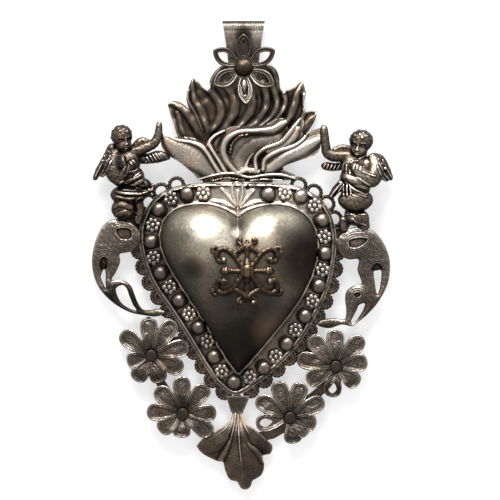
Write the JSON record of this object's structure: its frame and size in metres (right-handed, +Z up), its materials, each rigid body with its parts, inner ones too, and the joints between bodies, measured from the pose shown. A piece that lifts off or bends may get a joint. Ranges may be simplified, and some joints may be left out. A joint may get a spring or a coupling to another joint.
{
  "type": "ex-voto heart",
  "caption": "Puffed metal heart in a bossed border, crowned with flames, held by two small winged figures, with leaf scrolls, flowers and a hanging strap.",
  "frame": {"origin": "on the back face of the back plate, on the heart's middle line and about the middle of its height, 95 mm below the stud that carries the strap", "axes": "+Z up, +Y into the wall, so the front faces -Y; +X to the right as seen from the front"},
  "size_m": [0.1276, 0.0257, 0.2005],
  "materials": {
    "bright_silver": "rubbed silver with dark tarnish in its hollows",
    "worn_silver": "half tarnished silver, worn bright on its edges",
    "dark_silver": "black brown tarnish",
    "gilt_metal": "worn brown gilding"
  },
  "bodies": {
    "heart_body": {"heart_dome": "bright_silver", "flame_front": "bright_silver", "heart_border": "worn_silver", "putto_left": "worn_silver", "putto_right": "worn_silver", "scroll_left": "worn_silver", "scroll_right": "worn_silver", "flower_upper_left": "worn_silver", "flower_lower_left": "worn_silver", "flower_upper_right": "worn_silver", "flower_lower_right": "worn_silver", "back_plate": "dark_silver", "edging_left": "dark_silver", "edging_right": "dark_silver", "flame_rear": "dark_silver", "rosette_stud": "dark_silver", "strip_left": "dark_silver", "strip_right": "dark_silver", "bracket_left": "dark_silver", "bracket_right": "dark_silver", "flower_stud_upper_left": "dark_silver", "flower_stud_lower_left": "dark_silver", "flower_stud_upper_right": "dark_silver", "flower_stud_lower_right": "dark_silver", "palmette": "dark_silver", "palmette_tab": "dark_silver", "palmette_rivet": "dark_silver", "border_post_1": "dark_silver", "border_post_2": "dark_silver", "border_post_3": "dark_silver", "border_post_4": "dark_silver", "border_post_5": "dark_silver", "border_post_6": "dark_silver", "flame_post_1": "dark_silver", "flame_post_2": "dark_silver", "gilt_ornament": "gilt_metal", "ornament_pin_1": "gilt_metal", "ornament_pin_2": "gilt_metal"},
    "bail": {"bail": "worn_silver"},
    "rosette": {"rosette": "worn_silver"}
  },
  "joints": [
    {"name": "bail_pivot", "type": "hinge", "parent": "heart_body", "child": "bail", "pos_m": [0.00255, 0, 0.09496], "axis": [0, 1, 0], "range_deg": [-25, 25]},
    {"name": "rosette_turn", "type": "hinge", "parent": "heart_body", "child": "rosette", "pos_m": [0.00255, 0, 0.09496], "axis": [0, 1, 0], "continuous": true}
  ]
}
